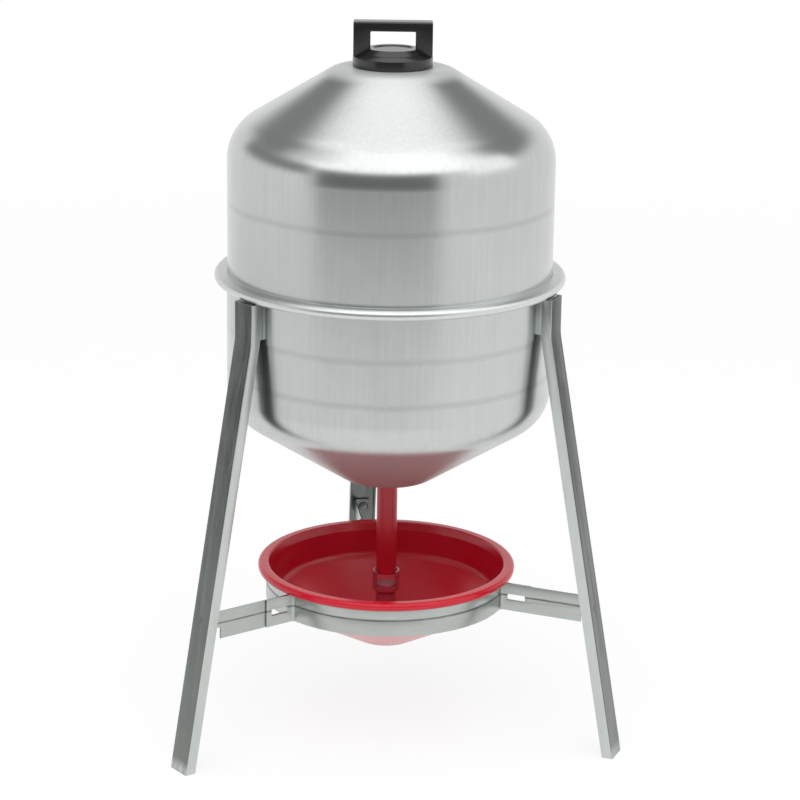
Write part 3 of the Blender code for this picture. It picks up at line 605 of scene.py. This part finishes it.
GRAIN_WALL, GRAIN_RING = (260.0, 260.0, 7.0), (180.0, 180.0, 180.0)
# Painted shade along the die rings: its colour, half its width and how far it wanders.
RING_PAINTED_SHADE, RING_PAINTED_SHADE_HALF, WANDER = "#7d8180", 0.006, 0.0025
DULL_LAND, DULL_CONE = (0.704, 0.713, 0.42, 0.62), (0.365, 0.350, 0.34, 0.76)
upper_finish = galvanised(
    "drawn_zinc_upper", "#c9cccb", "#bfc3c2", GRAIN_WALL, 0.21,
    ((UPPER_MARK, RING_PAINTED_SHADE_HALF, 0.38, RING_PAINTED_SHADE, WANDER),), DULL_LAND)
lower_finish = galvanised(
    "drawn_zinc_lower", "#cdd0cf", "#c3c7c6", GRAIN_WALL, 0.26,
    ((HIGH_MARK, RING_PAINTED_SHADE_HALF, 0.32, RING_PAINTED_SHADE, WANDER), (LOW_MARK, RING_PAINTED_SHADE_HALF, 0.38, RING_PAINTED_SHADE, WANDER)),
    DULL_CONE)
ring_finish = galvanised("rolled_zinc", "#dcdfde", "#d2d6d5", GRAIN_RING, 0.36)
wear(upper_finish, upper)
wear(lower_finish, lower)
wear(ring_finish, ring, neck, thread)

# %% [markdown]
# Legs and straps are strip steel with a thin bright zinc plating. Rolling leaves lines along the
# strip, and the finish is a little duller than the tank's. The legs' webs are painted darker than
# the flanges, a painted reflection of darker surroundings, and darker still towards the top as
# painted shade. A pale band at each web's foot is a painted highlight.
# Faces far out that look along a leg's outward direction belong to its web, or to the strap's tab
# on it.

# %% Plated strip
GRAIN_LEG, GRAIN_STRAP = (150.0, 150.0, 12.0), (40.0, 40.0, 500.0)
WEB_FACING, TAB_R = math.cos(math.radians(40)), 0.18
UPPER_SHADE = (0.48, 0.60, 1.3, "#3c3f3d", 0.0)        # painted shade, darker upwards
# Painted highlight: a pale band at the foot of each web.
FOOT_PAINTED_HIGHLIGHT = (0.003, 0.012, 1.15, "#d0d3d2", 0.001)
RIB_PAINTED_SHADE = (0.1572, 0.0017, 1.7, "#565b58", 0.0)       # painted shade along the strap's rib
leg_finish = galvanised("plated_leg", "#cdd1cf", "#c1c6c3", GRAIN_LEG, 0.32)
# Painted reflection and shade: the webs' darker paint, which the rivets and the strap tabs share.
web_painted_shade = galvanised(
    "plated_web_painted_shade", "#888d8a", "#787d7a", GRAIN_LEG, 0.36, (UPPER_SHADE, FOOT_PAINTED_HIGHLIGHT))
strap_finish = galvanised(
    "plated_strap", "#bec2bf", "#b1b6b3", GRAIN_STRAP, 0.34, (RIB_PAINTED_SHADE,))
wear(leg_finish, *legs, *brackets)
wear(web_painted_shade, *rivets)
wear(strap_finish, *straps)
# Web faces, and the strap tabs on them, take the darker painted web.
for piece in (*legs, *straps):
    piece.data.materials.append(web_painted_shade)
    for face in piece.data.polygons:
        out = max((outward(end) for end in LEG_AZIMUTHS), key=face.center.dot)
        if face.center.dot(out) > TAB_R and abs(face.normal.dot(out)) > WEB_FACING:
            face.material_index = 1

# %% [markdown]
# Bowl, pipe, cup and nut are red polypropylene, glossy from the mould. Its colour and its gloss
# drift a little, and the mould leaves a grain of about a millimetre. The cup is the shiniest.

# %% Red polypropylene
DRIFT_SCALE, GLOSS_DRIFT = 22.0, 0.05      # patches of 4 to 5 cm


def moulded(name, deep, light, rough, grain_mm, bump, ior=1.49):
    """Moulded plastic or rubber: slight colour drift, fine mould grain and uneven gloss."""
    made, tree, shader = finish(name, Metallic=0.0, IOR=ior)
    place = add(tree, "ShaderNodeTexCoord").outputs["Object"]
    drift = add(tree, "ShaderNodeTexNoise", {"Vector": place, "Scale": DRIFT_SCALE, "Detail": 3.0})
    grain = add(tree, "ShaderNodeTexNoise", {
        "Vector": place, "Scale": 1000.0 / grain_mm, "Detail": 2.0})
    colour = add(tree, "ShaderNodeMix", {
        "Factor": drift.outputs["Fac"], "A": tint(deep), "B": tint(light)}, data_type="RGBA")
    tree.links.new(colour.outputs["Result"], shader.inputs["Base Color"])
    gloss = add(tree, "ShaderNodeMapRange", {
        "Value": drift.outputs["Fac"],
        "To Min": rough - GLOSS_DRIFT, "To Max": rough + GLOSS_DRIFT})
    tree.links.new(gloss.outputs[0], shader.inputs["Roughness"])
    relief = add(tree, "ShaderNodeBump", {
        "Height": grain.outputs["Fac"], "Strength": bump, "Distance": 0.0002})
    tree.links.new(relief.outputs["Normal"], shader.inputs["Normal"])
    print(name, len(tree.nodes), "nodes")
    return made


bowl_finish = moulded("red_polypropylene", "#ba0620", "#c60c28", 0.22, 1.4, 0.05)
pipe_finish = moulded("red_tube", "#a80c1e", "#b61226", 0.25, 1.4, 0.05)
cup_finish = moulded("red_cup", "#962833", "#a63843", 0.13, 1.4, 0.03, 1.6)
wear(bowl_finish, bowl)
wear(pipe_finish, pipe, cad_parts["outlet_nut"])
wear(cup_finish, seat)

# %% [markdown]
# The cap is black polypropylene with a satin moulded skin. The seals are matt black rubber, and the
# pad that shuts the pipe is red rubber.

# %% Black plastic and rubber
cap_finish = moulded("black_polypropylene", "#111110", "#161615", 0.21, 0.9, 0.04, 1.60)
rubber_finish = moulded("black_rubber", "#171717", "#1e1e1e", 0.75, 0.6, 0.15)
pad_finish = moulded("red_rubber", "#b4283a", "#c03446", 0.5, 0.8, 0.10)
wear(cap_finish, cap, loop)
wear(rubber_finish, *[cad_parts[n] for n in ("seam_gasket", "cap_seal", "outlet_seal")])
wear(pad_finish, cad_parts["seat_pad"])

# %% [markdown]
# A metal shows what stands round it. The studio has a pale floor, a white background and a large
# soft light overhead. Reflections also see a dome. It is white, with a bright ceiling, a bright
# strip in front of it, and grey flags that give the steel its dark bands.

# %% Studio
FLOOR_HALF = 8.0
# Painted shade: in reflections the floor darkens towards its front and its left side.
FLOOR_DARK, FLOOR_DARK_Y, FLOOR_PALE_Y = 0.70, -2.3, -1.3      # mirrored, its front is darker
LEFT_DARK, LEFT_DARK_X, LEFT_PALE_X = 0.80, -2.0, -0.7         # and so is its left side
NEAR_R, FAR_R, NEAR_GLOW = 1.0, 3.5, 0.86                      # shadows show near the object only
bpy.ops.object.select_all(action="DESELECT")
bpy.ops.mesh.primitive_plane_add(size=2 * FLOOR_HALF)
floor = bpy.context.active_object
floor.name = "floor"


def seen_directly(tree):
    """1 for rays that show the background itself: from the camera, a mirror or glass."""
    path = add(tree, "ShaderNodeLightPath")
    total = add(tree, "ShaderNodeMath", {
        0: path.outputs["Is Camera Ray"], 1: path.outputs["Is Glossy Ray"]}, operation="ADD")
    total = add(tree, "ShaderNodeMath", {
        0: total.outputs[0], 1: path.outputs["Is Transmission Ray"]},
        operation="ADD", use_clamp=True)
    return total.outputs[0]


paper = bpy.data.materials.new("floor_paper")
paper.use_nodes = True
tree = paper.node_tree
tree.nodes.clear()
matt = add(tree, "ShaderNodeBsdfDiffuse", {"Color": tint("#f2f2f2")})
place = add(tree, "ShaderNodeTexCoord").outputs["Object"]
spot = add(tree, "ShaderNodeSeparateXYZ", {0: place})
fall = add(tree, "ShaderNodeMapRange", {
    "Value": spot.outputs["Y"], "From Min": FLOOR_DARK_Y, "From Max": FLOOR_PALE_Y,
    "To Min": FLOOR_DARK})
left = add(tree, "ShaderNodeMapRange", {
    "Value": spot.outputs["X"], "From Min": LEFT_DARK_X, "From Max": LEFT_PALE_X,
    "To Min": LEFT_DARK})
fall = add(tree, "ShaderNodeMath", {0: fall.outputs[0], 1: left.outputs[0]}, operation="MULTIPLY")
mirror = add(tree, "ShaderNodeLightPath").outputs["Is Glossy Ray"]
glow = add(tree, "ShaderNodeMix", {"Factor": mirror, "A": 1.0, "B": fall.outputs[0]})
white = add(tree, "ShaderNodeEmission", {"Color": (1, 1, 1, 1), "Strength": glow.outputs["Result"]})
away = add(tree, "ShaderNodeVectorMath", {0: place}, operation="LENGTH")
away = add(tree, "ShaderNodeMapRange", {
    "Value": away.outputs["Value"], "From Min": NEAR_R, "From Max": FAR_R,
    "To Min": NEAR_GLOW, "To Max": 1.0})
share = add(tree, "ShaderNodeMath", {
    0: seen_directly(tree), 1: away.outputs[0]}, operation="MULTIPLY")
both = add(tree, "ShaderNodeMixShader", {
    0: share.outputs[0], 1: matt.outputs[0], 2: white.outputs[0]})
add(tree, "ShaderNodeOutputMaterial", {"Surface": both.outputs[0]})
wear(paper, floor)

world = bpy.data.worlds.new("studio")
bpy.context.scene.world = world
world.use_nodes = True
tree = world.node_tree
tree.nodes.clear()
room = add(tree, "ShaderNodeBackground", {"Color": (1, 1, 1, 1), "Strength": 0.6})
back = add(tree, "ShaderNodeBackground", {"Color": (1, 1, 1, 1), "Strength": 1.0})
both = add(tree, "ShaderNodeMixShader", {
    0: seen_directly(tree), 1: room.outputs[0], 2: back.outputs[0]})
add(tree, "ShaderNodeOutputWorld", {"Surface": both.outputs[0]})

# %% [markdown]
# The dome's light is painted by direction. Each panel has a brightness, a span round the object in
# degrees from its front, positive to the right, a span of elevation, and the softness of its
# upright and of its level edges. One more panel lies high at the back, on both sides alike.

# %% Dome
DOME_R, EYE_Z, DOME_LEVEL = 2.4, 0.62, 0.95
BACK = 400.0                 # past the end of any span
PANELS = (
    (1.55, (-BACK, BACK), (62.0, BACK), (11.0, 11.0)),      # ceiling
    (1.80, (-52.0, 72.0), (26.5, 72.0), (26.0, 5.0)),       # strip in front
    (1.80, (-62.0, 77.0), (26.5, 36.0), (8.0, 5.0)),        # its bright lower part
    (1.50, (55.0, 95.0), (14.0, 36.0), (7.0, 7.0)),         # window on the right
    (0.20, (-52.0, 33.0), (-12.0, 24.0), (6.0, 6.0)),       # dark curtain in front
    (0.30, (-128.0, -57.0), (11.0, 28.0), (6.0, 6.0)),      # dark wall on the left
)
HIGH_BACK = (0.30, (88.0, BACK), (24.0, 56.0), (18.0, 9.0))


def panel(tree, base, around, height, brightness, span, rise, soft):
    """Blend one panel's brightness over the dome's own, with a soft step at each of its edges."""
    mask = None
    for value, start, width, low, high in (
            (around, span[0], soft[0], 0.0, 1.0), (around, span[1], soft[0], 1.0, 0.0),
            (height, rise[0], soft[1], 0.0, 1.0), (height, rise[1], soft[1], 1.0, 0.0)):
        step = add(tree, "ShaderNodeMapRange", {
            "Value": value, "From Min": start - width, "From Max": start + width,
            "To Min": low, "To Max": high}, interpolation_type="SMOOTHSTEP").outputs[0]
        if mask is not None:
            step = add(tree, "ShaderNodeMath", {0: mask, 1: step}, operation="MULTIPLY").outputs[0]
        mask = step
    blend = add(tree, "ShaderNodeMix", {"Factor": mask, "A": base, "B": brightness})
    return blend.outputs["Result"]


light = bpy.data.materials.new("dome_light")
light.use_nodes = True
tree = light.node_tree
tree.nodes.clear()
place = add(tree, "ShaderNodeTexCoord").outputs["Object"]
aim = add(tree, "ShaderNodeVectorMath", {0: place, 1: (0, 0, EYE_Z)}, operation="SUBTRACT")
aim = add(tree, "ShaderNodeVectorMath", {0: aim.outputs[0]}, operation="NORMALIZE")
axes = add(tree, "ShaderNodeSeparateXYZ", {0: aim.outputs[0]})
front = add(tree, "ShaderNodeMath", {0: axes.outputs["Y"], 1: -1.0}, operation="MULTIPLY")
around = add(tree, "ShaderNodeMath", {
    0: axes.outputs["X"], 1: front.outputs[0]}, operation="ARCTAN2")
around = add(tree, "ShaderNodeMath", {0: around.outputs[0]}, operation="DEGREES").outputs[0]
height = add(tree, "ShaderNodeMath", {0: axes.outputs["Z"]}, operation="ARCSINE")
height = add(tree, "ShaderNodeMath", {0: height.outputs[0]}, operation="DEGREES").outputs[0]
either_side = add(tree, "ShaderNodeMath", {0: around}, operation="ABSOLUTE").outputs[0]
level = panel(tree, DOME_LEVEL, either_side, height, *HIGH_BACK)
for spec in PANELS:
    level = panel(tree, level, around, height, *spec)
glow = add(tree, "ShaderNodeEmission", {"Color": (1, 1, 1, 1), "Strength": level})
add(tree, "ShaderNodeOutputMaterial", {"Surface": glow.outputs[0]})

bpy.ops.mesh.primitive_uv_sphere_add(segments=96, ring_count=48, radius=DOME_R)
dome = bpy.context.active_object
dome.name = "dome"
for ray in ("camera", "diffuse", "shadow", "transmission", "volume_scatter"):
    setattr(dome, f"visible_{ray}", False)
wear(light, dome)

LAMP_PLACE, LAMP_AIM = Vector((0, -1.2, 3.2)), Vector((0, 0, 0.3))
LAMP_SIZE, LAMP_WATTS = 4.0, 120.0
bpy.ops.object.light_add(type="AREA", location=LAMP_PLACE)
lamp = bpy.context.active_object
lamp.name = "light_above"
lamp.rotation_euler = (LAMP_AIM - LAMP_PLACE).to_track_quat("-Z", "Y").to_euler()
lamp.data.size = LAMP_SIZE
lamp.data.energy = LAMP_WATTS
lamp.visible_glossy = False
print("dome panels", len(PANELS) + 1, "nodes", len(tree.nodes))

bpy.context.scene.view_settings.view_transform = "Standard"
